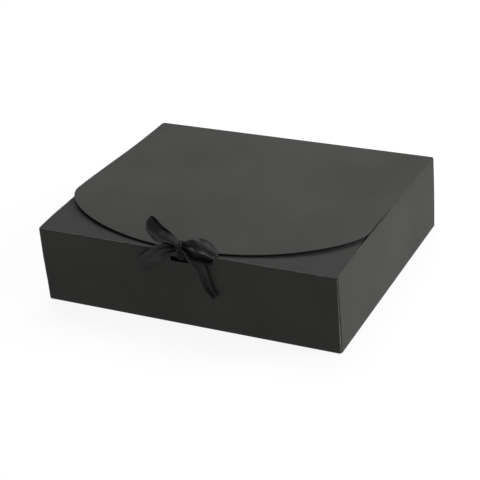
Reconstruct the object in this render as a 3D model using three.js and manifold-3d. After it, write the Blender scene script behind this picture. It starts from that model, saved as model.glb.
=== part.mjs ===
// Black folding-card gift box, tied shut with a satin ribbon.
//
// The box is one die-cut card blank. Each panel of the blank is a mesh of its own, and the panels
// meet at creases. The base carries the front and back walls and the two side walls, which roll
// over at the top and come down again inside. Corner tabs of the front and back walls are caught
// between the two layers of each side wall. A flap hinged on the front wall folds in first, and
// the lid, hinged on the back wall, comes down over it. The ribbon passes through a slot in the
// lid, one in the inner flap and one in the front wall, and is tied in a bow at the lid's tip.
//
// Millimetres. The origin is the centre of the base's underside, +X to the right, +Y to the back,
// +Z up.

import * as THREE from 'three';
import { mergeVertices } from 'three/addons/utils/BufferGeometryUtils.js';
import Module from 'manifold-3d';

const wasm = await Module();
wasm.setup();

// Driving dimensions
const WIDTH = 310;
const DEPTH = 256;
const HEIGHT = 79;
const CARD = 0.6; // thickness of the card
const GAP = 0.3; // clearance between neighbouring panels
const HINGE_GAP = 0.6; // from a hinge crease's axis to the panels on each side of it

// Side walls
const WALL_ARCH = 3.1; // how far the top edge of a side wall rises above its ends
const FRONT_EDGE_TAPER = 1.1; // how far the wall's cut front edge draws back at the bottom
const FRONT_EDGE_TAPER_TOP = 0.6 * HEIGHT; // height where it begins to draw back
const TAB_LENGTH = 62;
const TAB_CHAMFER = 14;
const LOCK_TAB_WIDTH = 34;
const LOCK_TAB_OFFSET = 70; // from the middle of the wall to the middle of each lock tab
const LOCK_TAB_CHAMFER = 2;

// Lid
const LID_HALF_WIDTH = WIDTH / 2 + 0.5;
const LID_SETBACK = 2; // from the front wall's face to the tip of the lid
const LID_CURVE_DEPTH = 74; // how far the curved front edge runs back at the sides
const LID_CURVE_X_POWER = 2.04;
const LID_CURVE_Y_POWER = 1.73;
const LID_BOW = 5.8; // rise of the lid's side edges along their length
const LID_TIP_RISE = 1.9; // height of the lid's tip above the back crease
const LID_CROWN = 2.5; // extra rise along the middle of the lid

// Inner flap
const FLAP_DEPTH = 100;
const FLAP_HALF_WIDTH = WIDTH / 2 - 0.5;
const FLAP_TAPER = 5;

// Slots for the ribbon
const SLOT_HALF_WIDTH = 12;
const FRONT_SLOT_LOW = 68.2;
const FRONT_SLOT_HIGH = 73.1;
const TOP_SLOT_WIDTH = 3.2; // front to back, in the lid and the inner flap
const TOP_SLOT_Y = -DEPTH / 2 + 11.5;

// Ribbon
const RIBBON_WIDTH = 15;
const RIBBON_THICKNESS = 0.4;
const KNOT_MIDDLE = [0.8, -130, 86];
const KNOT_RADII = [3.4, 4.2, 4.6];

// Levels and planes that follow from the above
const FACE_X = WIDTH / 2;
const FACE_Y = DEPTH / 2;
const WALL_TOP = HEIGHT - CARD - GAP; // top of the four walls at the corners
const HINGE_Z = HEIGHT - CARD / 2;
const HINGE_Y = FACE_Y - CARD / 2;
const TAB_X = FACE_X - CARD - GAP - CARD / 2; // middle of the corner tabs' thickness
const INNER_X = TAB_X - CARD - GAP; // middle of the inner side walls' thickness
const INSIDE_Y = FACE_Y - CARD - GAP; // half-length of what stands between front and back wall
const BASE_TOP = CARD + GAP;

const cardMaterial = () => {
  const material = new THREE.MeshStandardMaterial({ color: 0x2b2b2a, roughness: 0.72, metalness: 0 });
  material.name = 'black_card';
  return material;
};

const satinMaterial = () => {
  const material = new THREE.MeshStandardMaterial({ color: 0x101010, roughness: 0.38, metalness: 0 });
  material.name = 'ribbon_satin';
  return material;
};

const group = new THREE.Group();

function addNode(name, geometry, material) {
  const mesh = new THREE.Mesh(geometry, material);
  mesh.name = name;
  group.add(mesh);
}

const addCard = (name, geometry) => addNode(name, geometry, cardMaterial());
const addRibbon = (name, geometry) => addNode(name, geometry, satinMaterial());

// How far along the box a place is: 0 at the back crease, 1 at the front face.
const along = (y) => (FACE_Y - y) / DEPTH;

// Rise of the side walls' top edges above their ends.
const wallRise = (y) => WALL_ARCH * Math.max(0, Math.sin(Math.PI * along(y) ** 2));

// Top face of the lid, over its whole plan.
function lidTop(x, y) {
  const t = along(y);
  const edge = LID_BOW * Math.sin(Math.PI * t ** 2) + LID_TIP_RISE * t ** 2;
  const crown = LID_CROWN * Math.sin(Math.PI * t) * (1 - (x / LID_HALF_WIDTH) ** 2);
  return HEIGHT + edge + crown;
}

// Curved front edge of the lid.
function lidFront(x) {
  const across = Math.min(1, Math.abs(x) / LID_HALF_WIDTH);
  const drop = 1 - (1 - across ** LID_CURVE_X_POWER) ** (1 / LID_CURVE_Y_POWER);
  return -FACE_Y + LID_SETBACK + LID_CURVE_DEPTH * drop;
}

// A sheet cut into a grid. place(u, v, w) gives the point at u and v, both 0 to 1 over the sheet,
// and w, from -0.5 to 0.5 through its thickness.
function bentSheet(columns, rows, place) {
  const geometry = new THREE.BoxGeometry(1, 1, 1, columns, rows, 1);
  const position = geometry.attributes.position;
  for (let i = 0; i < position.count; i += 1) {
    const point = place(position.getX(i) + 0.5, position.getY(i) + 0.5, position.getZ(i));
    position.setXYZ(i, point.x, point.y, point.z);
  }
  geometry.computeVertexNormals();
  return geometry;
}

function toSolid(geometry) {
  const bare = geometry.clone();
  bare.deleteAttribute('normal');
  bare.deleteAttribute('uv');
  const merged = mergeVertices(bare);
  return new wasm.Manifold(new wasm.Mesh({
    numProp: 3,
    vertProperties: new Float32Array(merged.attributes.position.array),
    triVerts: new Uint32Array(merged.index.array),
  }));
}

function toGeometry(solid) {
  const mesh = solid.getMesh();
  const geometry = new THREE.BufferGeometry();
  geometry.setAttribute('position', new THREE.BufferAttribute(mesh.vertProperties, 3));
  geometry.setIndex(new THREE.BufferAttribute(mesh.triVerts, 1));
  geometry.computeVertexNormals();
  return geometry;
}

// The sheet with a ribbon slot cut down through it.
function cutTopSlot(geometry) {
  const cutter = new THREE.BoxGeometry(2 * SLOT_HALF_WIDTH, TOP_SLOT_WIDTH, HEIGHT);
  cutter.translate(0, TOP_SLOT_Y, HEIGHT);
  return toGeometry(toSolid(geometry).subtract(toSolid(cutter)));
}

function outline(points) {
  return new THREE.Shape(points.map(([a, b]) => new THREE.Vector2(a, b)));
}

// A panel standing across the box: its outline is drawn in X and Z, y is its middle.
function crossPanel(shape, y) {
  const geometry = new THREE.ExtrudeGeometry(shape, { depth: CARD, bevelEnabled: false });
  geometry.translate(0, 0, -CARD / 2);
  geometry.rotateX(Math.PI / 2);
  geometry.translate(0, y, 0);
  return geometry;
}

// A panel standing along the box: its outline is drawn in Y and Z, x is its middle.
function alongPanel(shape, x, thickness = CARD) {
  const geometry = new THREE.ExtrudeGeometry(shape, { depth: thickness, bevelEnabled: false });
  geometry.translate(0, 0, -thickness / 2);
  geometry.rotateX(Math.PI / 2);
  geometry.rotateZ(Math.PI / 2);
  geometry.translate(x, 0, 0);
  return geometry;
}

// Points along the top edge of a side wall, at a drop below the rim's top face.
function wallTopPoints(halfLength, drop, steps = 16) {
  const points = [];
  for (let i = 0; i <= steps; i += 1) {
    const y = halfLength * (1 - (2 * i) / steps);
    points.push([y, WALL_TOP + wallRise(y) - drop]);
  }
  return points;
}

// Base, with a slot beside each side crease for each lock tab.
function basePanel() {
  const halfX = FACE_X - CARD - GAP;
  const slotInner = INNER_X - CARD / 2 - GAP;
  const slotHalf = LOCK_TAB_WIDTH / 2 + GAP;
  const right = [[halfX, -INSIDE_Y]];
  for (const middle of [-LOCK_TAB_OFFSET, LOCK_TAB_OFFSET]) {
    right.push([halfX, middle - slotHalf]);
    right.push([slotInner, middle - slotHalf]);
    right.push([slotInner, middle + slotHalf]);
    right.push([halfX, middle + slotHalf]);
  }
  right.push([halfX, INSIDE_Y]);
  const left = right.map(([x, y]) => [-x, -y]);
  return new THREE.ExtrudeGeometry(outline([...right, ...left]), { depth: CARD, bevelEnabled: false });
}

// Outline of the front or back wall, up to the crease of the panel that hinges on it.
const endWallOutline = () => outline([
  [-FACE_X, 0],
  [FACE_X, 0],
  [FACE_X, HINGE_Z - HINGE_GAP],
  [-FACE_X, HINGE_Z - HINGE_GAP],
]);

function frontWall() {
  const shape = endWallOutline();
  const slot = new THREE.Path([
    new THREE.Vector2(-SLOT_HALF_WIDTH, FRONT_SLOT_LOW),
    new THREE.Vector2(-SLOT_HALF_WIDTH, FRONT_SLOT_HIGH),
    new THREE.Vector2(SLOT_HALF_WIDTH, FRONT_SLOT_HIGH),
    new THREE.Vector2(SLOT_HALF_WIDTH, FRONT_SLOT_LOW),
  ]);
  shape.holes.push(slot);
  return crossPanel(shape, -HINGE_Y);
}

const backWall = () => crossPanel(endWallOutline(), HINGE_Y);

// Outer layer of a side wall. Its cut front edge leans back from the corner towards the bottom.
function outerWall(side) {
  const shape = outline([
    [-INSIDE_Y + FRONT_EDGE_TAPER, 0],
    [INSIDE_Y, 0],
    ...wallTopPoints(INSIDE_Y, CARD + GAP),
    [-INSIDE_Y, FRONT_EDGE_TAPER_TOP],
  ]);
  return alongPanel(shape, side * (FACE_X - CARD / 2));
}

// Narrow strip between the two top creases, where a side wall rolls over.
function wallRim(side) {
  const top = wallTopPoints(INSIDE_Y, 0);
  const under = wallTopPoints(INSIDE_Y, CARD).reverse();
  const width = FACE_X - INNER_X + CARD / 2;
  return alongPanel(outline([...top, ...under]), side * (FACE_X - width / 2), width);
}

// Inner layer of a side wall, with two lock tabs standing in the base's slots.
function innerWall(side) {
  const bottom = [[-INSIDE_Y, BASE_TOP]];
  for (const middle of [-LOCK_TAB_OFFSET, LOCK_TAB_OFFSET]) {
    bottom.push([middle - LOCK_TAB_WIDTH / 2, BASE_TOP]);
    bottom.push([middle - LOCK_TAB_WIDTH / 2 + LOCK_TAB_CHAMFER, GAP]);
    bottom.push([middle + LOCK_TAB_WIDTH / 2 - LOCK_TAB_CHAMFER, GAP]);
    bottom.push([middle + LOCK_TAB_WIDTH / 2, BASE_TOP]);
  }
  bottom.push([INSIDE_Y, BASE_TOP]);
  return alongPanel(outline([...bottom, ...wallTopPoints(INSIDE_Y, CARD + GAP)]), side * INNER_X);
}

// Corner tab of the front wall (end = -1) or the back wall (end = 1), in a side wall's sandwich.
function cornerTab(side, end) {
  const top = WALL_TOP - CARD - GAP;
  const shape = outline([
    [-INSIDE_Y, BASE_TOP],
    [-INSIDE_Y + TAB_LENGTH, BASE_TOP + TAB_CHAMFER / 2],
    [-INSIDE_Y + TAB_LENGTH, top - TAB_CHAMFER],
    [-INSIDE_Y + TAB_LENGTH - TAB_CHAMFER, top],
    [-INSIDE_Y, top],
  ]);
  const geometry = alongPanel(shape, -end * side * TAB_X);
  if (end > 0) geometry.rotateZ(Math.PI);
  return geometry;
}

// Flap hinged on the front wall. It lies on the rims of the side walls and follows their rise.
function innerFlap() {
  const front = -HINGE_Y + HINGE_GAP;
  const sheet = bentSheet(4, 14, (u, v, w) => {
    const y = front + v * FLAP_DEPTH;
    const x = (2 * u - 1) * (FLAP_HALF_WIDTH - FLAP_TAPER * v ** 2);
    return new THREE.Vector3(x, y, HEIGHT + wallRise(y) + (w - 0.5) * CARD);
  });
  return cutTopSlot(sheet);
}

// Lid hinged on the back wall, bowed along its length, with a curved front edge.
function lidPanel() {
  const back = HINGE_Y - HINGE_GAP;
  const sheet = bentSheet(36, 14, (u, v, w) => {
    const x = LID_HALF_WIDTH * Math.sin((Math.PI / 2) * (2 * u - 1));
    const y = lidFront(x) + v * (back - lidFront(x));
    return new THREE.Vector3(x, y, lidTop(x, y) + (w - 0.5) * CARD);
  });
  return cutTopSlot(sheet);
}

// A length of ribbon. stations is a list of { at, across, width }: a point on the ribbon's middle
// line, the direction of its width there, and the width it is gathered to.
function ribbonStrip(stations, steps) {
  const path = new THREE.CatmullRomCurve3(stations.map((s) => new THREE.Vector3(...s.at)));
  const sides = new THREE.CatmullRomCurve3(stations.map((s) => new THREE.Vector3(...s.across)));
  const widths = new THREE.CatmullRomCurve3(
    stations.map((s) => new THREE.Vector3(s.width ?? RIBBON_WIDTH, 0, 0)),
  );
  return bentSheet(steps, 2, (u, v, w) => {
    const tangent = path.getTangent(u);
    const across = sides.getPoint(u).addScaledVector(tangent, -sides.getPoint(u).dot(tangent));
    across.normalize();
    const normal = new THREE.Vector3().crossVectors(tangent, across);
    return path.getPoint(u)
      .addScaledVector(across, (v - 0.5) * widths.getPoint(u).x)
      .addScaledVector(normal, w * RIBBON_THICKNESS);
  });
}

function ribbonKnot() {
  const geometry = new THREE.SphereGeometry(1, 16, 10);
  geometry.scale(...KNOT_RADII);
  geometry.translate(...KNOT_MIDDLE);
  return geometry;
}

// Stands up on its edge and leans back over the lid: out in front, round and back behind.
function leftLoop() {
  const across = [0.46, 0.14, 0.88];
  return ribbonStrip([
    { at: [-3.5, -131, 90], across, width: 5 },
    { at: [-7, -131, 92.5], across, width: 10.5 },
    { at: [-17.5, -132, 98], across, width: 13 },
    { at: [-26, -132, 105.5], across, width: 13.6 },
    { at: [-30, -130.5, 107], across, width: 13.6 },
    { at: [-29, -128, 106], across, width: 13.6 },
    { at: [-19.5, -127.5, 98], across, width: 13 },
    { at: [-9, -127, 91.5], across, width: 10 },
    { at: [-3.5, -127.5, 88.5], across, width: 5 },
  ], 36);
}

// Droops over the front edge: out on top, round and back underneath. At the fold its width lies
// along the fold's axis, and on both sides of it the width droops towards the front.
function rightLoop() {
  const droop = [0, -0.8, -0.6];
  const nearFold = [0, -0.9, -0.4];
  const fold = [0, -1, 0];
  return ribbonStrip([
    { at: [5, -128, 89], across: droop, width: 4.5 },
    { at: [12, -128.5, 91], across: droop, width: 9 },
    { at: [20, -129, 91], across: droop, width: 11 },
    { at: [29, -130.5, 90], across: nearFold, width: 11 },
    { at: [36, -132, 87.5], across: fold, width: 9 },
    { at: [39, -132.5, 83.5], across: fold, width: 8 },
    { at: [36, -132.5, 79.5], across: fold, width: 8 },
    { at: [26, -132.5, 79], across: nearFold, width: 8 },
    { at: [16, -132.5, 80.5], across: droop, width: 8 },
    { at: [7.5, -132, 83.5], across: droop, width: 5 },
  ], 40);
}

const leftTail = () => ribbonStrip([
  { at: [-4.5, -133, 84.5], across: [0.35, 0, -0.94], width: 5 },
  { at: [-14, -133.5, 83], across: [0.45, 0, -0.89], width: 11.4 },
  { at: [-22.5, -133, 77], across: [0.6, 0, -0.8], width: 14.5 },
  { at: [-33, -131, 67.5], across: [0.69, 0, -0.72] },
  { at: [-44.5, -130, 57.5], across: [0.75, 0, -0.66] },
], 14);

const rightTail = () => ribbonStrip([
  { at: [6.5, -132, 80.5], across: [1, 0, 0.5], width: 4.5 },
  { at: [12.5, -130.5, 75], across: [1, 0, 0.35], width: 9 },
  { at: [20, -130, 66.5], across: [1, 0, 0.1], width: 13 },
  { at: [21.5, -130, 56.5], across: [1, 0, 0.05], width: 13 },
  { at: [25.5, -130, 46.5], across: [1, 0, 0.1], width: 11.5 },
  { at: [31.5, -129.5, 37], across: [1, 0, 0.25], width: 9 },
], 16);

// From the knot down to the mouth of the front slot.
const frontStrand = () => ribbonStrip([
  { at: [1, -131.5, 81], across: [1, 0, 0], width: 5.5 },
  { at: [0.5, -130, 77], across: [1, 0, 0], width: 6 },
  { at: [0, -129, 72], across: [1, 0, 0], width: 6.5 },
], 6);

// From the knot back over the lid's tip and down through its slot.
const lidStrand = () => ribbonStrip([
  { at: [0, -124.5, 82.5], across: [-1, 0, 0], width: 8 },
  { at: [0, -120.5, 83], across: [-1, 0, 0], width: 12 },
  { at: [0, -117.5, 83], across: [-1, 0, 0] },
  { at: [0, -116.5, 82], across: [-1, 0, 0] },
  { at: [0, -116.5, 80.5], across: [-1, 0, 0] },
], 10);

// Inside the box, from under the inner flap's slot down behind the front slot.
const innerRun = () => ribbonStrip([
  { at: [0, -117, 77.5], across: [-1, 0, 0] },
  { at: [0, -119.5, 74.5], across: [-1, 0, 0], width: 12 },
  { at: [0, -123, 72], across: [-1, 0, 0], width: 8.5 },
  { at: [0, -126.5, 70.5], across: [-1, 0, 0], width: 7 },
], 8);

addCard('base_panel', basePanel());
addCard('front_wall', frontWall());
addCard('back_wall', backWall());
for (const [sideName, side] of [['left', -1], ['right', 1]]) {
  addCard(`${sideName}_outer_wall`, outerWall(side));
  addCard(`${sideName}_wall_rim`, wallRim(side));
  addCard(`${sideName}_inner_wall`, innerWall(side));
  addCard(`front_${sideName}_tab`, cornerTab(side, -1));
  addCard(`back_${sideName}_tab`, cornerTab(side, 1));
}
addCard('inner_flap', innerFlap());
addCard('lid', lidPanel());
addRibbon('ribbon_knot', ribbonKnot());
addRibbon('ribbon_left_loop', leftLoop());
addRibbon('ribbon_right_loop', rightLoop());
addRibbon('ribbon_left_tail', leftTail());
addRibbon('ribbon_right_tail', rightTail());
addRibbon('ribbon_front_strand', frontStrand());
addRibbon('ribbon_lid_strand', lidStrand());
addRibbon('ribbon_inner_run', innerRun());

export default group;
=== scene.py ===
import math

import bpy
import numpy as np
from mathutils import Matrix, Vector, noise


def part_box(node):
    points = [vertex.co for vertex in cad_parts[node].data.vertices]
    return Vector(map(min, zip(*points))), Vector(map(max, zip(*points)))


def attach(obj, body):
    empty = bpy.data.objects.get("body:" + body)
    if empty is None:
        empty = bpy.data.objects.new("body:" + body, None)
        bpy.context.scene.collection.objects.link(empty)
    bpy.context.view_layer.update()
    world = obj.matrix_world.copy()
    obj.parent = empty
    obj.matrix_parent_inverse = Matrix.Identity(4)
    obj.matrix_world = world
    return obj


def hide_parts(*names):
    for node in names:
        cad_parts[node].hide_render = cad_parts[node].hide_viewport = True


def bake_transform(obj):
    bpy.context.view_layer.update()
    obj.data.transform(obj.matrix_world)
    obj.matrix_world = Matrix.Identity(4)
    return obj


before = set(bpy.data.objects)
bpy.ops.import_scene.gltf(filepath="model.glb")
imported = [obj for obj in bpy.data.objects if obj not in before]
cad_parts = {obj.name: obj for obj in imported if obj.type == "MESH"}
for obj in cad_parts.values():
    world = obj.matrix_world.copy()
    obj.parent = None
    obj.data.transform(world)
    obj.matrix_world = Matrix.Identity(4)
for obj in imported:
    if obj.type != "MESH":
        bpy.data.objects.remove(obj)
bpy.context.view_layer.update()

# Look of the black folding-card gift box with its satin ribbon.
#
# Every panel of card is a thin sheet with its creases rounded over, and every stretch of ribbon is
# a thin strip of satin, gathered into pleats where it is pulled tight. Metres, in the frame of the
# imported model: the origin is the centre of the base's underside, +X right, +Y back, +Z up.

MM = 0.001

# Card
FACE_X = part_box("right_outer_wall")[1][0]
FACE_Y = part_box("back_wall")[1][1]
CARD_THICKNESS = 0.6 * MM
TOP_CREASE_RISE = 1.5 * CARD_THICKNESS  # how far the top creases stand above the tops of the CAD walls
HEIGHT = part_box("back_wall")[1][2] + TOP_CREASE_RISE  # level of the top creases
CREASE = 1.1 * MM  # outer radius of a crease
RIM_CREASE = 1.15 * MM  # and of the two creases along a side wall's rim
SIDE_FOLD_WEAR_AND_HIGHLIGHT = 0.35  # how much the side walls' folds are paled, partly rubbed card and partly painted highlight, against 1 for the others
CORNER_STEPS = 6  # steps round a rounded corner
SEAM_Z = HEIGHT - 1.6 * MM  # where a wall ends and a crease strip begins
INNER_FACE_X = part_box("right_inner_wall")[0][0]
TAB_FACE_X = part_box("front_right_tab")[1][0]
TAB_END_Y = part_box("front_right_tab")[1][1]
INSIDE_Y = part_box("right_outer_wall")[1][1]
FOLD_INSET = 0.4 * MM  # how far a panel that meets a side wall stays inside its face
CORNER_X = FACE_X - FOLD_INSET  # where the front and back walls turn the corner
CORNER_CHAMFER = 8 * MM  # depth over which an end wall slants in to its corner tabs
WALL_ARCH = 3.1 * MM  # how far a side wall's rim rises above its two ends
FRONT_EDGE_TAPER = 1.3 * MM  # how far the side walls' front edges draw back at the foot
FRONT_EDGE_TAPER_TOP = 0.62 * HEIGHT
FRONT_EDGE_TAPER_REACH = 30 * MM
WALL_BULGE = 0.35 * MM  # how far the side walls stand out at half height
LOCK_TAB_OFFSET = 70 * MM
LOCK_TAB_HALF = 17.3 * MM
LOCK_TAB_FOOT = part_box("right_inner_wall")[0][2]

# Lid and inner flap
LID_HALF_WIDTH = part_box("lid")[1][0]
LID_TIP_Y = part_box("lid")[0][1]
LID_CURVE_DEPTH = 74 * MM  # how far the curved front edge falls back at the lid's sides
LID_CURVE_X_POWER = 2.04
LID_CURVE_Y_POWER = 1.73
LID_BOW = 5.8 * MM  # how far the lid's side edges bow upwards
LID_TIP_RISE = 1.9 * MM
LID_CROWN = 2.5 * MM  # and how much higher its middle line is than its side edges
LID_WAVE = 0.35 * MM
LID_WAVE_LENGTH = 75 * MM
LID_WAVE_START = 40 * MM  # distance from the crease at which the wave is at its full size
FLAP_HALF_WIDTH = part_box("inner_flap")[1][0]
FLAP_END_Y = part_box("inner_flap")[1][1]
FLAP_TAPER = 5 * MM  # how much narrower each side of the flap is at its free end
FLAP_WAVE = 0.25 * MM
FLAP_WAVE_LENGTH = 55 * MM
FLAP_WAVE_START = 25 * MM

# Slots for the ribbon
SLOT_HALF_WIDTH = 12 * MM
FRONT_SLOT = (68.2 * MM, 73.1 * MM)
TOP_SLOT_Y = -FACE_Y + 11.5 * MM
TOP_SLOT_HALF = 1.6 * MM

# Ribbon
RIBBON_WIDTH = 15 * MM
RIBBON_THICKNESS = 0.28 * MM
SELVAGE = 0.6 * MM
SELVAGE_STEP = 0.35 * RIBBON_THICKNESS
RIBBON_SAMPLES = 400  # points at which a ribbon's stations are first joined up
RIBBON_ROW = 0.7 * MM  # spacing of the rows of its mesh
RIBBON_LANES = 26
PLEAT_DEPTH = 1.15  # sets how much of a gathered ribbon's spare width its pleats take up
PLEAT_DRIFT = 1.3
PLEAT_DRIFT_LENGTH = 9 * MM
CRUMPLE_LENGTH = 5 * MM

# The knot is a ring of ribbon round the necks of the loops. In millimetres, as all stations are.
KNOT_MIDDLE = (0.8, -130, 86.2)
KNOT_RADII = (3.2, 3.4)
KNOT_WIDTH = 6.2
KNOT_STEPS = 12

# Viewpoint of the camera, in degrees and metres
CAMERA_AZIMUTH = 27.93
CAMERA_ELEVATION = 28.42
CAMERA_ROLL = -4.94
CAMERA_DISTANCE = 1.4082
CAMERA_TARGET = (12.8 * MM, -35 * MM, 45 * MM)
CAMERA_LENS = 108.54


# ---------------------------------------------------------------- meshes

def unit(v):
    return v / np.linalg.norm(v, axis=-1, keepdims=True)


def sheet_object(name, face, thickness, keep=None, ring=False, crease=None):
    """A closed thin sheet. face[i, j] are points of its outer face, whose normal is i-step x
    j-step; keep[i, j] says which cells are there; ring joins the last row of points to the first.
    crease[i, j], from 0 to 1, says how much a point lies on a fold. The faces along the sheet's
    edges use the second material."""
    rows, lanes = face.shape[:2]
    cells_i = rows if ring else rows - 1
    keep = np.ones((cells_i, lanes - 1), bool) if keep is None else keep
    step_i = (np.roll(face, -1, 0) - np.roll(face, 1, 0)) if ring else np.gradient(face, axis=0)
    step_j = np.gradient(face, axis=1)
    normal = unit(np.cross(step_i, step_j))
    points = np.concatenate([face.reshape(-1, 3), (face - thickness * normal).reshape(-1, 3)])
    below = rows * lanes

    def at(i, j):
        return (i % rows) * lanes + j

    def kept(i, j):
        i = i % cells_i if ring else i
        return 0 <= i < cells_i and 0 <= j < lanes - 1 and keep[i, j]

    faces, is_edge = [], []
    for i in range(cells_i):
        for j in range(lanes - 1):
            if not keep[i, j]:
                continue
            corners = [at(i, j), at(i + 1, j), at(i + 1, j + 1), at(i, j + 1)]
            faces += [corners, [c + below for c in reversed(corners)]]
            is_edge += [False, False]
            for k, (di, dj) in enumerate([(0, -1), (1, 0), (0, 1), (-1, 0)]):
                if not kept(i + di, j + dj):
                    a, b = corners[k], corners[(k + 1) % 4]
                    faces.append([b, a, a + below, b + below])
                    is_edge.append(True)

    used = np.unique(np.array(faces))
    renumber = np.full(len(points), -1)
    renumber[used] = np.arange(len(used))
    mesh = bpy.data.meshes.new(name)
    mesh.from_pydata(points[used].tolist(), [], renumber[np.array(faces)].tolist())
    mesh.polygons.foreach_set("material_index", np.array(is_edge, int))
    if crease is not None:
        values = np.concatenate([crease.ravel(), crease.ravel()])[used]
        mesh.attributes.new("crease", "FLOAT", "POINT").data.foreach_set("value", values)

    along = np.zeros((rows, lanes))
    along[1:] = np.cumsum(np.linalg.norm(np.diff(face, axis=0), axis=2), axis=0)
    across = np.zeros((rows, lanes))
    across[:, 1:] = np.cumsum(np.linalg.norm(np.diff(face, axis=1), axis=2), axis=1)
    flat = np.stack([along, across], -1).reshape(-1, 2)
    flat = np.concatenate([flat, flat])[used]
    loops = np.zeros(len(mesh.loops), int)
    mesh.loops.foreach_get("vertex_index", loops)
    mesh.uv_layers.new(name="flat").data.foreach_set("uv", flat[loops].ravel())

    mesh.shade_smooth()
    mesh.set_sharp_from_angle(angle=math.radians(50))
    mesh.update()
    piece = bpy.data.objects.new(name, mesh)
    bpy.context.collection.objects.link(piece)
    return piece


def marks(*stops, step):
    """Rising or falling values through all the stops, no further apart than step."""
    values = [stops[0]]
    for a, b in zip(stops, stops[1:]):
        count = max(1, math.ceil(abs(b - a) / step - 1e-6))
        values += [a + (b - a) * k / count for k in range(1, count + 1)]
    return np.array(values)


def rounded_path(corners, radii, runs):
    """Points along a bent line in a plane with its corners rounded, and how far each point lies on
    a rounded corner, from 0 to 1. runs gives the number of steps in each straight stretch."""
    corners = [np.array(c, float) for c in corners]
    points, folds = [], []

    def straight(a, b, count):
        for k in range(count):
            points.append(a + (b - a) * k / count)
            folds.append(0.0)

    start = corners[0]
    for here, before, after, radius, run in zip(corners[1:], corners, corners[2:], radii, runs):
        back, ahead = unit(before - here), unit(after - here)
        half = math.acos(np.clip(back @ ahead, -1, 1)) / 2
        trim = radius / math.tan(half)
        centre = here + unit(back + ahead) * radius / math.sin(half)
        a, b = here + back * trim - centre, here + ahead * trim - centre
        sweep = math.acos(np.clip(a @ b / radius ** 2, -1, 1))
        straight(start, centre + a, run)
        for k in range(CORNER_STEPS):
            t = k / CORNER_STEPS
            turned = a * math.sin((1 - t) * sweep) + b * math.sin(t * sweep)
            points.append(centre + turned / math.sin(sweep))
            folds.append(math.sin(math.pi * t))
        start = centre + b
    straight(start, corners[-1], runs[-1])
    points.append(corners[-1])
    folds.append(0.0)
    return np.array(points), np.array(folds)


# ---------------------------------------------------------------- shape of the card

def along(y):
    """0 at the back wall's face and 1 at the front wall's."""
    return (FACE_Y - y) / (2 * FACE_Y)


def wall_rise(y):
    """Height of a side wall's arched rim over its ends. The arch is highest towards the front."""
    return WALL_ARCH * np.maximum(0, np.sin(math.pi * along(y) ** 2))


def ripple(x, y, size, seed):
    """Slow unevenness of the card, about -1 to 1."""
    return noise.noise(Vector((x / size, y / size, seed)))


def lid_top(x, y):
    """Level of the lid's upper face."""
    t = along(y)
    edge = LID_BOW * np.sin(math.pi * t ** 2) + LID_TIP_RISE * t ** 2
    crown = LID_CROWN * np.sin(math.pi * t) * (1 - (x / LID_HALF_WIDTH) ** 2)
    return HEIGHT + edge + crown


def lid_front(x):
    """How far forward the lid reaches."""
    part = np.minimum(1, np.abs(x) / LID_HALF_WIDTH)
    drop = 1 - (1 - part ** LID_CURVE_X_POWER) ** (1 / LID_CURVE_Y_POWER)
    return LID_TIP_Y + LID_CURVE_DEPTH * drop


def dress_card(piece, face_material, *nodes):
    """Give a piece its card materials and let it stand for its CAD nodes."""
    piece.data.materials.append(face_material)
    piece.data.materials.append(CARD_EDGE)
    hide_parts(*nodes)


def base_sheet():
    xs = marks(INNER_FACE_X - FOLD_INSET, -INNER_FACE_X + FOLD_INSET, step=20 * MM)
    ys = marks(-FACE_Y + CREASE, FACE_Y - CREASE, step=20 * MM)
    x, y = np.meshgrid(xs, ys, indexing="ij")
    piece = sheet_object("base", np.stack([x, y, 0 * x], -1), CARD_THICKNESS)
    dress_card(piece, CARD_FACE, "base_panel")
    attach(piece, "box")


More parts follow.
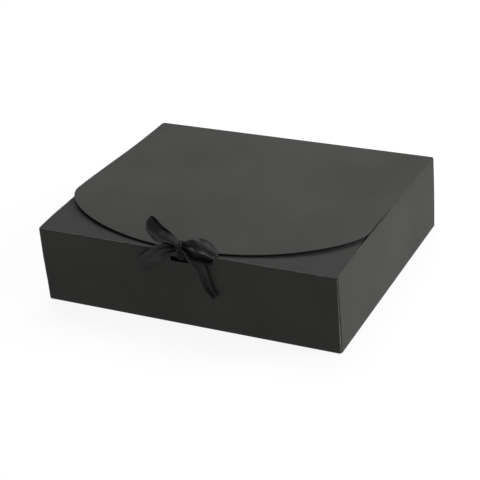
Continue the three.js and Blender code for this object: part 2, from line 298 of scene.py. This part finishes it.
def end_wall(name, end, nodes, slot=False):
    """Front wall (end = -1) or back wall (end = 1) with its two corner tabs, as one folded strip.
    Its foot curls under to meet the base."""
    half_path = [(TAB_FACE_X, TAB_END_Y), (TAB_FACE_X, CORNER_CHAMFER - FACE_Y), (CORNER_X, -FACE_Y)]
    left = [(-a, b) for a, b in half_path]
    right = list(reversed(half_path))
    tab_steps, slant_steps, front_steps = 4, 1, 80
    path, fold = rounded_path(left + right, [CREASE] * 4,
                              [tab_steps, slant_steps, front_steps, slant_steps, tab_steps])
    straight = np.abs(path[:, 1] + FACE_Y) < 1e-7  # the points on the wall's own face
    if slot:  # move the nearest points of the path onto the ends of the slot
        front = np.where(straight)[0]
        for x in (-SLOT_HALF_WIDTH, SLOT_HALF_WIDTH):
            path[front[np.argmin(np.abs(path[front, 0] - x))], 0] = x

    turns = np.linspace(0, math.pi / 2, 6)
    foot = [(CREASE * (1 - math.sin(a)), CREASE * (1 - math.cos(a))) for a in turns]
    heights = marks(CREASE, *(FRONT_SLOT if slot else ()), SEAM_Z, step=6 * MM)
    inward = np.array([d for d, _ in foot] + [0.0] * (len(heights) - 1))
    level = np.array([z for _, z in foot] + list(heights[1:]))

    x = np.repeat(path[:, 0:1], len(level), 1)
    y = path[:, 1:2] + np.where(straight[:, None], inward[None, :], 0)
    z = np.repeat(level[None, :], len(path), 0)
    face = np.stack([-end * x, -end * y, z], -1)

    keep = np.ones((len(path) - 1, len(level) - 1), bool)
    on_front = straight[:-1] & straight[1:]
    keep[~on_front, :len(foot) - 1] = False
    if slot:
        middle_x = (path[:-1, 0] + path[1:, 0]) / 2
        middle_z = (level[:-1] + level[1:]) / 2
        in_x = on_front & (np.abs(middle_x) < SLOT_HALF_WIDTH)
        in_z = (middle_z > FRONT_SLOT[0]) & (middle_z < FRONT_SLOT[1])
        keep[np.ix_(in_x, in_z)] = False
    bottom = np.zeros(len(level))
    bottom[:len(foot)] = np.sin(np.linspace(0, math.pi, len(foot)))
    crease = np.maximum(fold[:, None], np.where(straight[:, None], bottom[None, :], 0))
    piece = sheet_object(name, face, CARD_THICKNESS, keep, crease=crease)
    dress_card(piece, CARD_FACE, *nodes)
    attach(piece, "box")


def side_wall(name, side, nodes):
    """A side wall: out from under the base, up, over the rim and down inside to its lock tabs."""
    under_steps, wall_steps, rim_steps, inner_steps = 1, 14, 1, 10
    tab_edges = [s * LOCK_TAB_OFFSET + e * LOCK_TAB_HALF for s in (-1, 1) for e in (-1, 1)]
    ys = marks(-INSIDE_Y, *tab_edges, INSIDE_Y, step=5 * MM)
    inner_foot = 1.5 * CARD_THICKNESS  # just clear of the base
    columns = []
    for y in ys:
        top = HEIGHT - TOP_CREASE_RISE + wall_rise(y)
        corners = [(INNER_FACE_X - FOLD_INSET, 0), (FACE_X, 0), (FACE_X, top), (INNER_FACE_X, top),
                   (INNER_FACE_X, inner_foot)]
        path, folds = rounded_path(corners, [CREASE, RIM_CREASE, RIM_CREASE],
                                   [under_steps, wall_steps, rim_steps, inner_steps])
        columns.append(np.vstack([path, [(INNER_FACE_X, LOCK_TAB_FOOT)]]))
    columns = np.array(columns)
    folds = np.append(folds, 0.0)
    x, z = columns[:, :, 0].copy(), columns[:, :, 1]
    y = np.repeat(ys[:, None], z.shape[1], 1)

    outer = np.arange(z.shape[1]) <= under_steps + CORNER_STEPS + wall_steps
    lean = FRONT_EDGE_TAPER * np.clip(1 - z / FRONT_EDGE_TAPER_TOP, 0, 1)
    near_front = np.clip(1 - (y + INSIDE_Y) / FRONT_EDGE_TAPER_REACH, 0, 1)
    bulge = WALL_BULGE * np.sin(math.pi * np.clip(z / HEIGHT, 0, 1))
    y = y + np.where(outer[None, :], lean * near_front, 0)
    x = x + np.where(outer[None, :], bulge, 0)

    middle_y = (ys[:-1] + ys[1:]) / 2
    at_tab = np.abs(np.abs(middle_y) - LOCK_TAB_OFFSET) < LOCK_TAB_HALF
    keep = np.ones((z.shape[1] - 1, len(ys) - 1), bool)
    keep[0, at_tab] = False
    keep[-1, ~at_tab] = False
    face = np.stack([x, y, z], -1).transpose(1, 0, 2)
    # The side walls' folds get less of the paler fold colour, which is partly painted highlight.
    crease = SIDE_FOLD_WEAR_AND_HIGHLIGHT * np.repeat(folds[:, None], len(ys), 1)
    if side > 0:
        face, keep, crease = face[:, ::-1], keep[:, ::-1], crease[:, ::-1]
    face = face * np.array([side, 1, 1])
    piece = sheet_object(name, face, CARD_THICKNESS, keep, crease=crease)
    dress_card(piece, CARD_FACE, *nodes)
    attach(piece, "box")


def crease_rows():
    """From the seam on a wall up and round the top crease: distance in from the wall's face and
    level for each row, and how far each lies on the fold."""
    turns = np.linspace(0, math.pi / 2, CORNER_STEPS + 1)
    inward = [0.0] + [CREASE * (1 - math.cos(a)) for a in turns]
    level = [SEAM_Z] + [HEIGHT - CREASE * (1 - math.sin(a)) for a in turns]
    return np.array(inward), np.array(level), np.array([0.0] + list(np.sin(2 * turns)))


def slot_keep(xs, row_middles):
    """Cells left standing around a ribbon slot in the lid or the inner flap."""
    in_x = np.abs((xs[:-1] + xs[1:]) / 2) < SLOT_HALF_WIDTH
    in_y = np.abs(row_middles - TOP_SLOT_Y) < TOP_SLOT_HALF
    return ~(in_x[:, None] & in_y[None, :])


def inner_flap():
    slot_part = SLOT_HALF_WIDTH / FLAP_HALF_WIDTH
    xs = marks(-1, -slot_part, slot_part, 1, step=0.05)
    inward, level, fold = crease_rows()
    ys = marks(-FACE_Y + CREASE, TOP_SLOT_Y - TOP_SLOT_HALF, TOP_SLOT_Y + TOP_SLOT_HALF, FLAP_END_Y,
               step=4 * MM)[1:]
    y = np.concatenate([-FACE_Y + inward, ys])
    z = np.concatenate([level, HEIGHT + wall_rise(ys)])
    part = np.clip((y + FACE_Y) / (FLAP_END_Y + FACE_Y), 0, 1)
    half = np.where(y < -FACE_Y + CREASE / 2, CORNER_X - CREASE, FLAP_HALF_WIDTH)
    x = xs[:, None] * (half - FLAP_TAPER * part ** 2)[None, :]
    wave = np.array([[ripple(a, b, FLAP_WAVE_LENGTH, seed=3.0) for b in y] for a in x[:, 0]])
    settle = np.clip((y + FACE_Y) / FLAP_WAVE_START, 0, 1) * FLAP_WAVE
    face = np.stack([x, np.repeat(y[None, :], len(xs), 0), z[None, :] + wave * settle], -1)
    keep = slot_keep(xs * FLAP_HALF_WIDTH, (y[:-1] + y[1:]) / 2)
    crease = np.repeat(np.concatenate([fold, np.zeros(len(ys))])[None, :], len(xs), 0)
    piece = sheet_object("inner_flap_card", face, CARD_THICKNESS, keep, crease=crease)
    # The flap gets the darker copy of the card, which is painted shade from the lid above it.
    dress_card(piece, FLAP_FACE_PAINTED_SHADE, "inner_flap")
    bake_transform(piece)


def lid():
    edge = math.asin(SLOT_HALF_WIDTH / LID_HALF_WIDTH)
    spread = marks(math.pi / 2, edge, -edge, -math.pi / 2, step=math.pi / 110)
    xs = LID_HALF_WIDTH * np.sin(spread)
    inward, level, fold = crease_rows()
    back = FACE_Y - CREASE
    slot_marks = [(back - (TOP_SLOT_Y + s * TOP_SLOT_HALF)) / (back - LID_TIP_Y) for s in (1, -1)]
    vs = marks(0, *slot_marks, 1, step=0.012)[1:]
    front = lid_front(xs)[:, None]
    y = back + vs[None, :] * (front - back)
    x = np.repeat(xs[:, None], y.shape[1], 1)
    wave = np.array([[ripple(a, b, LID_WAVE_LENGTH, seed=7.0) for a, b in zip(*row)]
                     for row in zip(x, y)])
    settle = np.clip((back - y) / LID_WAVE_START, 0, 1) * LID_WAVE
    z = lid_top(x, y) + wave * settle
    top = np.stack([x, y, z], -1)
    half = np.minimum(np.abs(xs), CORNER_X - CREASE / 2) * np.sign(xs)
    hinge = np.stack([np.repeat(half[:, None], len(level), 1),
                      np.repeat((FACE_Y - inward)[None, :], len(xs), 0),
                      np.repeat(level[None, :], len(xs), 0)], -1)
    face = np.concatenate([hinge, top], 1)
    middles = (face[len(xs) // 2, :-1, 1] + face[len(xs) // 2, 1:, 1]) / 2
    keep = slot_keep(xs, middles)
    crease = np.repeat(np.concatenate([fold, np.zeros(len(vs))])[None, :], len(xs), 0)
    piece = sheet_object("lid_card", face, CARD_THICKNESS, keep, crease=crease)
    dress_card(piece, CARD_FACE, "lid")
    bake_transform(piece)


# ---------------------------------------------------------------- shape of the ribbon

def smooth_through(values, count):
    """A Catmull-Rom curve through the rows of values."""
    v = np.array(values, float)
    v = np.vstack([2 * v[0] - v[1], v, 2 * v[-1] - v[-2]])
    out = []
    for s in np.linspace(0, len(values) - 1, count):
        k = min(int(s), len(values) - 2)
        t = s - k
        a, b, c, d = v[k:k + 4]
        out.append(0.5 * (2 * b + (c - a) * t + (2 * a - 5 * b + 4 * c - d) * t ** 2
                          + (3 * b - a - 3 * c + d) * t ** 3))
    return np.array(out)


def ribbon(name, node, stations, seed, body="lid", pleats=2.0, phase=0.0, slant=0.0,
           barrel=0.0, crumple=0.12, ring=False):
    """A strip of ribbon along stations of (point, direction of its width, width), in millimetres.
    Where it is narrower than the ribbon, the spare width stands in pleats. slant makes the far end
    a slanting cut, and barrel bulges the middle of the strip outwards."""
    rows_of_numbers = [list(point) + list(across) + [width] for point, across, width in stations]
    dense = smooth_through(rows_of_numbers, RIBBON_SAMPLES)
    middle, side, width = dense[:, :3] * MM, dense[:, 3:6], dense[:, 6] * MM
    arc = np.concatenate([[0], np.cumsum(np.linalg.norm(np.diff(middle, axis=0), axis=1))])
    length = arc[-1]
    tangent = unit(np.gradient(middle, axis=0))
    side = unit(side - (side * tangent).sum(1)[:, None] * tangent)
    normal = np.cross(tangent, side)

    rows = max(12, round(length / RIBBON_ROW))
    u = np.linspace(0, 1, rows)[:-1] if ring else np.linspace(0, 1, rows)
    v = np.linspace(-0.5, 0.5, RIBBON_LANES)
    s = u[:, None] * (length - slant * MM * (0.5 - v)[None, :])

    def at(values):
        if values.ndim == 1:
            return np.interp(s, arc, values)
        return np.stack([np.interp(s, arc, values[:, k]) for k in range(3)], -1)

    w = at(width)
    spare = np.sqrt(np.maximum((RIBBON_WIDTH / w) ** 2 - 1, 0))
    depth = PLEAT_DEPTH * w * spare / (2 * math.pi * pleats)
    drift = np.array([[ripple(a, b, PLEAT_DRIFT_LENGTH, seed) for b in v * 4 * MM]
                      for a in s[:, 0]])
    fold = depth * np.cos(2 * math.pi * pleats * v[None, :] + phase + PLEAT_DRIFT * drift)
    small = np.array([[ripple(a, b * RIBBON_WIDTH, CRUMPLE_LENGTH, seed + 5) for b in v]
                      for a in s[:, 0]])
    hem = SELVAGE_STEP * (np.abs(v)[None, :] > 0.5 - SELVAGE / RIBBON_WIDTH)
    out = fold + crumple * MM * small + hem + barrel * MM * np.cos(math.pi * v)[None, :]
    face = at(middle) + at(side) * (w * v[None, :])[..., None] + at(normal) * out[..., None]

    piece = sheet_object(name, face, RIBBON_THICKNESS, ring=ring)
    for _ in range(2):  # the faces and the edges of the sheet
        piece.data.materials.append(SATIN)
    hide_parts(node)
    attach(piece, body)


def bow():
    """Each stretch of the tied ribbon, starting at the knot, apart from inner_run."""
    up = (0.46, 0.14, 0.88)
    top, turn, under = (0.2, -0.78, -0.6), (0.04, -0.96, -0.28), (0.12, -0.62, -0.79)
    right, left = (1, 0, 0), (-1, 0, 0)
    ribbon("left_loop", "ribbon_left_loop", [
        ((-0.5, -131, 87), up, 5),
        ((-3.5, -131.5, 89.5), up, 8.5),
        ((-8, -133, 92.5), up, 12),
        ((-13, -135, 95), up, 13),
        ((-18.5, -136.5, 98.5), up, 14),
        ((-26, -134.5, 104.5), up, 14),
        ((-30, -131, 107), up, 14),
        ((-28, -128.5, 106), up, 14),
        ((-19.5, -128.5, 98.5), up, 13.5),
        ((-9, -128.5, 91.5), up, 12),
        ((-3.5, -128.5, 89), up, 7),
        ((-0.5, -129, 87), up, 4.5),
    ], seed=2.0, pleats=0.9, phase=3.0)
    ribbon("right_loop", "ribbon_right_loop", [
        ((1.5, -129, 87.5), top, 4.5),
        ((5.5, -128.5, 89.5), top, 6),
        ((11.5, -129, 91), top, 10.5),
        ((20, -130.5, 91), top, 14.5),
        ((28.5, -131.5, 90), (0.2, -0.88, -0.47), 14.5),
        ((35.5, -133, 87), turn, 12.5),
        ((39, -133.5, 84), turn, 12),
        ((36, -133, 80), (0.05, -0.81, -0.58), 12),
        ((25.5, -134, 79), under, 12),
        ((15.5, -134, 80), under, 10),
        ((7.5, -132, 83.5), under, 6),
        ((2, -131, 85), under, 4.5),
    ], seed=4.0, pleats=1.2, phase=3.8)
    ribbon("left_tail", "ribbon_left_tail", [
        ((0.5, -131, 85), (0.35, 0, -0.94), 4),
        ((-5, -133, 84.5), (0.35, 0, -0.94), 6),
        ((-14, -133.5, 83), (0.45, 0, -0.89), 11.5),
        ((-22.5, -133, 77), (0.6, 0, -0.8), 14),
        ((-33, -131, 67.5), (0.69, 0.1, -0.72), 14.5),
        ((-44.5, -130, 57.5), (0.75, -0.1, -0.66), 15),
    ], slant=5.0, seed=6.0)
    ribbon("right_tail", "ribbon_right_tail", [
        ((1.5, -131, 84), (1, 0, 0.8), 4),
        ((6.5, -131.5, 80.5), (1, 0, 0.5), 5),
        ((13, -131, 75.5), (1, 0, 0.35), 11.5),
        ((19.5, -130.5, 66.5), (1, 0, 0.1), 13.5),
        ((22, -130, 56.5), (1, 0, 0.05), 12.5),
        ((26, -130, 46.5), (1, 0, 0.1), 10.5),
        ((32, -129.5, 37), (1, 0, 0.25), 8.5),
    ], pleats=1.2, phase=2.6, slant=-6.0, seed=8.0)
    ribbon("front_strand", "ribbon_front_strand", [
        ((1, -131, 83), right, 5),
        ((0.5, -130.5, 77), right, 6),
        ((0, -129, 72.5), right, 6.5),
        ((0, -127, 71), right, 7),
    ], seed=9.0)
    ribbon("lid_strand", "ribbon_lid_strand", [
        ((1, -127, 85.5), left, 6),
        ((0.5, -124, 83.5), left, 8),
        ((0, -120.5, 83), left, 12),
        ((0, -117.5, 83), left, 14),
        ((0, -116.5, 82), left, 14.5),
        ((0, -116.5, 80.5), left, 14.5),
    ], seed=10.0, crumple=0.05)
    ribbon("inner_run", "ribbon_inner_run", [
        ((0, -117, 77), left, 15),
        ((0, -119.5, 74.5), left, 12),
        ((0, -123, 72), left, 8.5),
        ((0, -127, 71), left, 7),
    ], body="box", seed=11.0)
    knot = []
    for k in range(KNOT_STEPS + 1):
        angle = 2 * math.pi * k / KNOT_STEPS
        point = (KNOT_MIDDLE[0],
                 KNOT_MIDDLE[1] - KNOT_RADII[0] * math.cos(angle),
                 KNOT_MIDDLE[2] - KNOT_RADII[1] * math.sin(angle))
        knot.append((point, right, KNOT_WIDTH))
    ribbon("knot", "ribbon_knot", knot, pleats=2.5, barrel=0.8, seed=12.0, ring=True)


# ---------------------------------------------------------------- materials

MIX_FACTOR, MIX_A, MIX_B = 0, 6, 7  # inputs of a mix node that are used for colours
MIX_RESULT = 2  # and its colour output


class Nodes:
    """A small helper that adds shader nodes to a material and links them by socket name."""

    def __init__(self, name):
        self.material = bpy.data.materials.new(name)
        self.material.use_nodes = True
        self.tree = self.material.node_tree
        self.shader = self.tree.nodes["Principled BSDF"]

    def add(self, kind, **settings):
        node = self.tree.nodes.new(kind)
        for key, value in settings.items():
            if key in node.inputs.keys():
                node.inputs[key].default_value = value
            else:
                setattr(node, key, value)
        return node

    def link(self, source, output, target, socket):
        self.tree.links.new(source.outputs[output], target.inputs[socket])

    def speckle(self, place, output, scale, detail=3.0, stretch=(1, 1, 1)):
        """A noise texture over the coordinates that output of place gives."""
        mapping = self.add("ShaderNodeMapping")
        mapping.inputs["Scale"].default_value = stretch
        texture = self.add("ShaderNodeTexNoise", Scale=scale, Detail=detail)
        self.link(place, output, mapping, "Vector")
        self.link(mapping, "Vector", texture, "Vector")
        return texture

    def remap(self, source, output, low, high, to_low, to_high):
        node = self.add("ShaderNodeMapRange")
        ends = {"From Min": low, "From Max": high, "To Min": to_low, "To Max": to_high}
        for key, value in ends.items():
            node.inputs[key].default_value = value
        self.link(source, output, node, "Value")
        return node

    def mix(self, factor_node, factor_output, a, b):
        """Colour a where the factor is 0 and b where it is 1. Each is a colour or a node and the
        number of its output."""
        node = self.add("ShaderNodeMix", data_type="RGBA")
        self.link(factor_node, factor_output, node, MIX_FACTOR)
        for index, colour in ((MIX_A, a), (MIX_B, b)):
            if hasattr(colour[0], "outputs"):
                self.tree.links.new(colour[0].outputs[colour[1]], node.inputs[index])
            else:
                node.inputs[index].default_value = (*colour, 1)
        return node


def card_material(name, dark, light, worn_and_highlight, rough):
    """Uncoated card: its tone drifts from dark to light with pale fibres in it, and its folds are
    paled to the worn_and_highlight colour: partly rubbed fibre, partly a painted highlight."""
    n = Nodes(name)
    place = n.add("ShaderNodeTexCoord")
    cloud = n.speckle(place, "Object", 11, detail=4)
    fibre = n.speckle(place, "Object", 420, detail=5, stretch=(1, 0.55, 0.8))
    grain = n.speckle(place, "Object", 2600, detail=3)
    tone = n.mix(n.remap(cloud, 0, 0.3, 0.7, 0, 1), 0, dark, light)
    pale_fibre = tuple(c * 1.55 for c in light)
    speck = n.mix(n.remap(fibre, 0, 0.4, 0.75, 0, 0.28), 0, (tone, MIX_RESULT), pale_fibre)
    # Folds are paled towards the worn_and_highlight colour: partly real rubbed fibre, partly a painted
    # highlight for the light a rounded fold catches.
    fold = n.add("ShaderNodeAttribute", attribute_name="crease")
    fold_patches = n.speckle(place, "Object", 160, detail=4)
    wear_and_highlight = n.add("ShaderNodeMath", operation="MULTIPLY")
    n.link(fold, "Fac", wear_and_highlight, 0)
    n.link(n.remap(fold_patches, 0, 0.35, 0.65, 0.3, 0.95), 0, wear_and_highlight, 1)
    colour = n.mix(wear_and_highlight, 0, (speck, MIX_RESULT), worn_and_highlight)
    n.link(colour, MIX_RESULT, n.shader, "Base Color")
    n.link(n.remap(fibre, 0, 0.3, 0.7, rough - 0.06, rough + 0.06), 0, n.shader, "Roughness")
    height = n.add("ShaderNodeMath", operation="ADD")
    n.link(fibre, 0, height, 0)
    n.link(grain, 0, height, 1)
    bump = n.add("ShaderNodeBump", Strength=0.35, Distance=0.00012)
    n.link(height, 0, bump, "Height")
    n.link(bump, "Normal", n.shader, "Normal")
    n.shader.inputs["Specular IOR Level"].default_value = 0.1
    n.shader.inputs["Sheen Weight"].default_value = 0.04
    n.shader.inputs["Sheen Roughness"].default_value = 0.6
    return n.material


def satin_material(name):
    """Black satin: fine warp threads along the ribbon, weft threads across it, and slubs."""
    n = Nodes(name)
    flat = n.add("ShaderNodeUVMap", uv_map="flat")
    warp = n.speckle(flat, "UV", 1, detail=2, stretch=(220, 9000, 1))
    weft = n.speckle(flat, "UV", 1, detail=2, stretch=(5200, 420, 1))
    slub = n.speckle(flat, "UV", 1, detail=3, stretch=(60, 500, 1))
    dark, light, pale_slub = (0.0085, 0.008, 0.0075), (0.016, 0.0152, 0.0145), (0.026, 0.025, 0.024)
    tone = n.mix(n.remap(warp, 0, 0.3, 0.7, 0, 1), 0, dark, light)
    colour = n.mix(n.remap(slub, 0, 0.45, 0.75, 0, 0.5), 0, (tone, MIX_RESULT), pale_slub)
    n.link(colour, MIX_RESULT, n.shader, "Base Color")
    n.link(n.remap(slub, 0, 0.3, 0.7, 0.5, 0.62), 0, n.shader, "Roughness")
    height = n.add("ShaderNodeMath", operation="ADD")
    n.link(warp, 0, height, 0)
    n.link(weft, 0, height, 1)
    bump = n.add("ShaderNodeBump", Strength=0.3, Distance=0.00005)
    n.link(height, 0, bump, "Height")
    n.link(bump, "Normal", n.shader, "Normal")
    n.shader.inputs["Specular IOR Level"].default_value = 0.14
    n.shader.inputs["Sheen Weight"].default_value = 0.02
    n.shader.inputs["Sheen Roughness"].default_value = 0.35
    return n.material


# ---------------------------------------------------------------- stage, light and camera

def floor():
    """A white floor that glows, so that it stays white while the box still shades it a little."""
    material = bpy.data.materials.new("floor_white")
    material.use_nodes = True
    tree = material.node_tree
    shader = tree.nodes["Principled BSDF"]
    shader.inputs["Base Color"].default_value = (0.08, 0.08, 0.08, 1)
    shader.inputs["Roughness"].default_value = 1.0
    shader.inputs["Specular IOR Level"].default_value = 0.0
    shader.inputs["Emission Color"].default_value = (1, 1, 1, 1)
    shader.inputs["Emission Strength"].default_value = 0.9
    mesh = bpy.data.meshes.new("floor")
    half = 8.0  # metres, far past what the camera sees
    corners = [(-half, -half, 0), (half, -half, 0), (half, half, 0), (-half, half, 0)]
    mesh.from_pydata(corners, [], [(0, 1, 2, 3)])
    mesh.materials.append(material)
    plane = bpy.data.objects.new("floor", mesh)
    plane.location.z = -0.05 * MM  # just clear of the base
    bpy.context.collection.objects.link(plane)


def softbox(name, place, aim, size, power):
    """A rectangular area light at place, turned towards aim. Metres and watts."""
    light = bpy.data.lights.new(name, "AREA")
    light.shape = "RECTANGLE"
    light.size, light.size_y = size
    light.energy = power
    lamp = bpy.data.objects.new(name, light)
    lamp.location = place
    lamp.rotation_euler = (Vector(aim) - Vector(place)).to_track_quat("-Z", "Y").to_euler()
    bpy.context.collection.objects.link(lamp)


def lights():
    softbox("right_softbox", (1.5, 0.25, 0.75), (0, 0, 0.04), (1.2, 1.2), 40)
    softbox("top_softbox", (-0.45, 0.85, 1.7), (0, 0, 0.05), (1.5, 1.2), 38)
    world = bpy.data.worlds.new("studio")
    world.use_nodes = True
    world.node_tree.nodes["Background"].inputs["Color"].default_value = (1, 1, 1, 1)
    world.node_tree.nodes["Background"].inputs["Strength"].default_value = 0.25
    bpy.context.scene.world = world


def camera():
    azimuth, elevation, roll = map(math.radians, (CAMERA_AZIMUTH, CAMERA_ELEVATION, CAMERA_ROLL))
    back = Vector((math.sin(azimuth) * math.cos(elevation),
                   -math.cos(azimuth) * math.cos(elevation),
                   math.sin(elevation)))
    right = (-back).cross(Vector((0, 0, 1))).normalized()
    up = right.cross(-back)
    turned_right = math.cos(roll) * right + math.sin(roll) * up
    turned_up = -math.sin(roll) * right + math.cos(roll) * up
    data = bpy.data.cameras.new("camera")
    data.sensor_width = 36
    data.lens = CAMERA_LENS
    eye = bpy.data.objects.new("camera", data)
    place = Vector(CAMERA_TARGET) + back * CAMERA_DISTANCE
    turn = Matrix((turned_right, turned_up, back)).transposed().to_4x4()
    eye.matrix_world = Matrix.Translation(place) @ turn
    bpy.context.collection.objects.link(eye)
    bpy.context.scene.camera = eye


# worn_and_highlight is the paler colour at the folds: rubbed card, and partly a painted highlight.
CARD_FACE = card_material("black_card", dark=(0.0168, 0.0167, 0.0155), light=(0.025, 0.0248, 0.0233),
                          worn_and_highlight=(0.09, 0.09, 0.085), rough=0.66)
# The inner flap's card is a darker copy of the same card: painted shade, standing in for the lid's
# shadow over the flap.
FLAP_FACE_PAINTED_SHADE = card_material("black_card_flap_painted_shade", dark=(0.013, 0.013, 0.0123), light=(0.018, 0.0178, 0.017),
                          worn_and_highlight=(0.09, 0.09, 0.085), rough=0.68)
CARD_EDGE = card_material("black_card_edge", dark=(0.03, 0.03, 0.029), light=(0.045, 0.045, 0.043),
                          worn_and_highlight=(0.085, 0.084, 0.08), rough=0.8)
SATIN = satin_material("ribbon_satin")

camera()
lights()
floor()
bpy.context.scene.view_settings.view_transform = "Standard"

base_sheet()
end_wall("front_wall_card", -1, ["front_wall", "front_left_tab", "front_right_tab"], slot=True)
end_wall("back_wall_card", 1, ["back_wall", "back_left_tab", "back_right_tab"])
for label, direction in (("left", -1), ("right", 1)):
    side_wall(f"{label}_wall_card", direction,
              [f"{label}_outer_wall", f"{label}_wall_rim", f"{label}_inner_wall"])
inner_flap()
lid()
bow()
